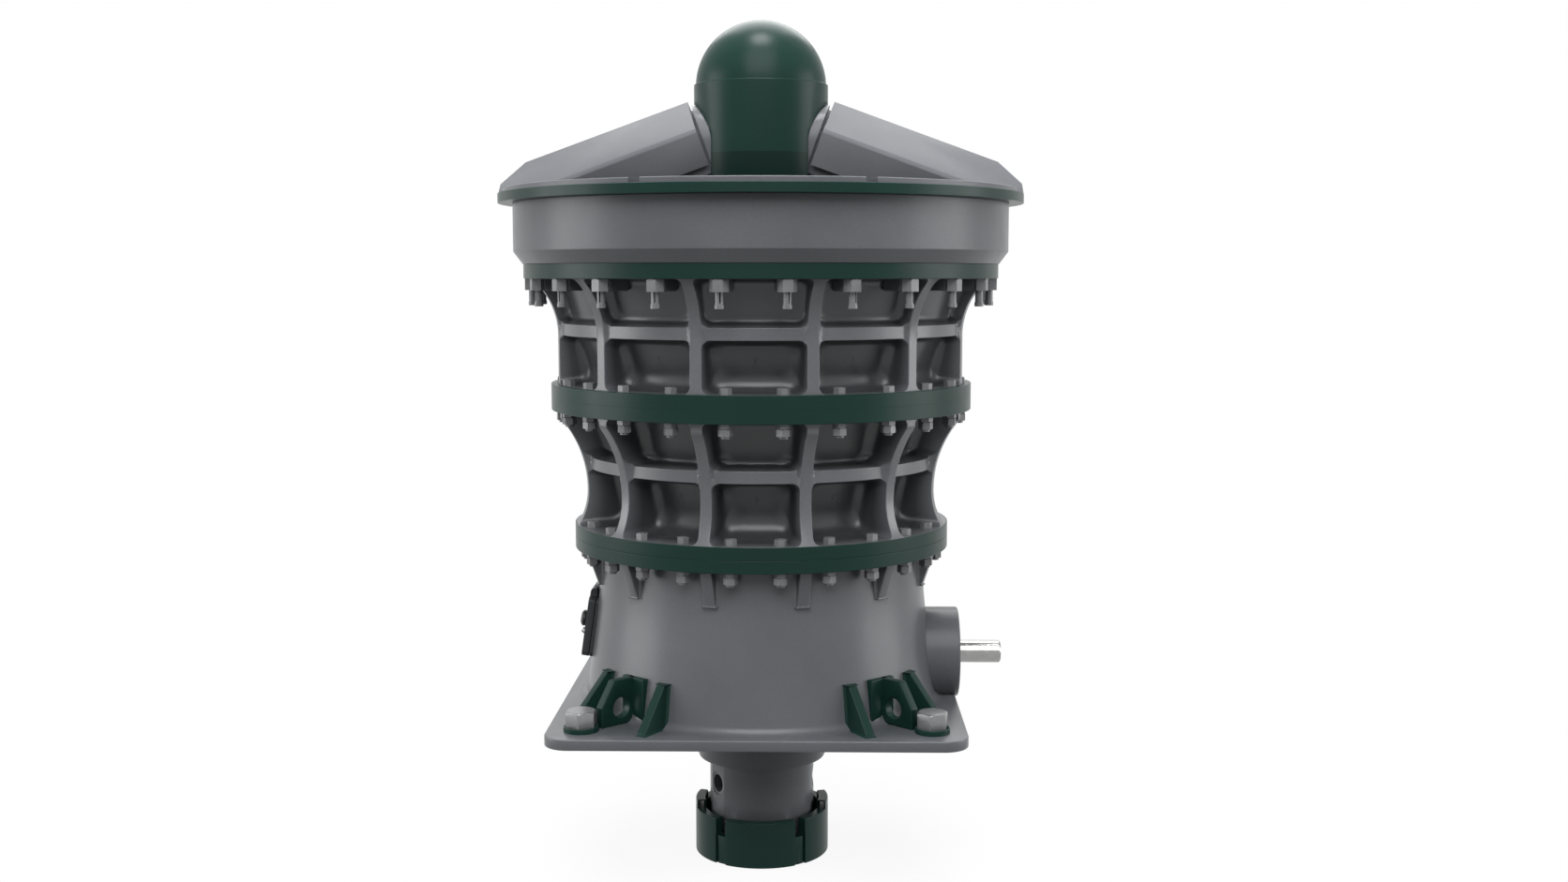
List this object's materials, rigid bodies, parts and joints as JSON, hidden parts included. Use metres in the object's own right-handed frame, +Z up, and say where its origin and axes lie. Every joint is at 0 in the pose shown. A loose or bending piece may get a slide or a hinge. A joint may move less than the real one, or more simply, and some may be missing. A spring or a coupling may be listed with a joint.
{
  "type": "gyratory crusher",
  "caption": "Primary gyratory crusher with ribbed cast shells, a two-arm spider, a square base plate, a pinion shaft and a hydraulic adjusting cylinder underneath.",
  "frame": {"origin": "on the crusher's vertical axis, on the floor under the base cap", "axes": "+Z up the crusher's axis, +X along the pinion shaft towards the drive, -Y the front"},
  "size_m": [4.3397, 4.3398, 7.019],
  "materials": {
    "grey_paint": "satin mid-grey machine paint over castings",
    "green_paint": "satin dark green machine paint",
    "dark_grey_paint": "satin dark grey paint",
    "liner_steel": "cast manganese steel, lightly worn",
    "machined_steel": "turned bright steel",
    "bolt_steel": "plain grey hexagon hardware",
    "black_plastic": "black moulded knob"
  },
  "bodies": {
    "frame": {"base_cap": "green_paint", "adjusting_cylinder": "grey_paint", "cylinder_collar": "grey_paint", "base_plate": "grey_paint", "bottom_shell": "grey_paint", "port_wall": "grey_paint", "bottom_shell_gussets": "grey_paint", "bottom_shell_flange": "green_paint", "lower_shell_bottom_flange": "green_paint", "lower_shell_wall": "grey_paint", "lower_shell_ribs": "grey_paint", "lower_shell_ring": "grey_paint", "lower_shell_top_flange": "green_paint", "upper_shell_bottom_flange": "green_paint", "upper_shell_wall": "grey_paint", "upper_shell_ribs": "grey_paint", "upper_shell_ring": "grey_paint", "upper_shell_top_flange": "green_paint", "spider_rim": "grey_paint", "rim_flange": "green_paint", "rim_liners": "grey_paint", "spider_hub": "grey_paint", "spider_arm_left": "grey_paint", "spider_arm_right": "grey_paint", "arm_shield_left": "grey_paint", "arm_shield_right": "grey_paint", "spider_cap": "green_paint", "cap_dome": "green_paint", "main_shaft": "machined_steel", "mantle": "liner_steel", "head_nut": "liner_steel", "lower_concaves": "liner_steel", "upper_concaves": "liner_steel", "bottom_hub": "grey_paint", "bottom_hub_arms": "grey_paint", "pinion_housing": "grey_paint", "pinion_cover": "grey_paint", "door_frame": "dark_grey_paint", "corner_brackets": "green_paint", "side_gussets": "green_paint"},
    "pinion": {"pinion_shaft": "machined_steel"},
    "door": {"inspection_door": "dark_grey_paint", "door_knob": "black_plastic"}
  },
  "joints": [
    {"name": "pinion_spin", "type": "hinge", "parent": "frame", "child": "pinion", "pos_m": [1.64, 0, 1.727], "axis": [1, 0, 0], "continuous": true},
    {"name": "door_swing", "type": "hinge", "parent": "frame", "child": "door", "pos_m": [-1.41243, 0, 2.26214], "axis": [0, 1, 0], "range_deg": [0, 100]}
  ]
}
